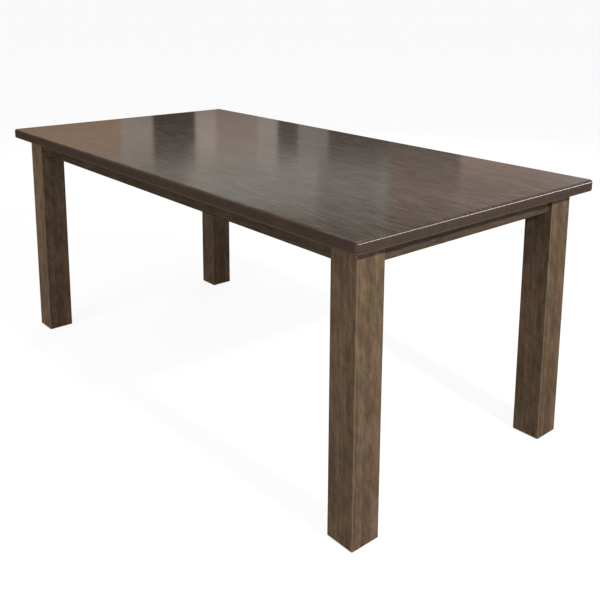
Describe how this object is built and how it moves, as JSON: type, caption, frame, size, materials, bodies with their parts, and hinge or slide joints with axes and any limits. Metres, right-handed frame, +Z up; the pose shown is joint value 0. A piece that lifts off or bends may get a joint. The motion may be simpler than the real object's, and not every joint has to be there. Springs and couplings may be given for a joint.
{
  "type": "dining table",
  "caption": "Rectangular wooden dining table: a thick overhanging board top on a shallow set-back apron frame, with straight square legs bolted into its corners.",
  "frame": {"origin": "on the floor under the middle of the table top", "axes": "+X along the table's length, +Y along its width, +Z up from the floor"},
  "size_m": [1.829, 0.914, 0.762],
  "materials": {
    "stained_wood": "grey-brown stain under semi-gloss lacquer",
    "bare_wood": "planed, unfinished",
    "zinc_steel": "zinc plated",
    "glide_plastic": "matte"
  },
  "bodies": {
    "root": {"top_board_1": "stained_wood", "top_board_2": "stained_wood", "top_board_3": "stained_wood", "top_board_4": "stained_wood", "top_board_5": "stained_wood", "top_board_6": "stained_wood", "top_board_7": "stained_wood", "leg_front_left": "stained_wood", "leg_front_right": "stained_wood", "leg_rear_right": "stained_wood", "leg_rear_left": "stained_wood", "apron_front": "stained_wood", "apron_right": "stained_wood", "apron_rear": "stained_wood", "apron_left": "stained_wood", "corner_block_front_left": "bare_wood", "corner_block_front_right": "bare_wood", "corner_block_rear_right": "bare_wood", "corner_block_rear_left": "bare_wood", "cross_brace_left": "bare_wood", "cross_brace_right": "bare_wood", "glide_front_left": "glide_plastic", "glide_front_right": "glide_plastic", "glide_rear_right": "glide_plastic", "glide_rear_left": "glide_plastic", "hanger_bolts": "zinc_steel", "bolt_washers": "zinc_steel", "hex_nuts": "zinc_steel", "corner_block_screws": "zinc_steel", "brace_screws": "zinc_steel", "top_clips": "zinc_steel", "clip_screws": "zinc_steel"}
  },
  "joints": []
}
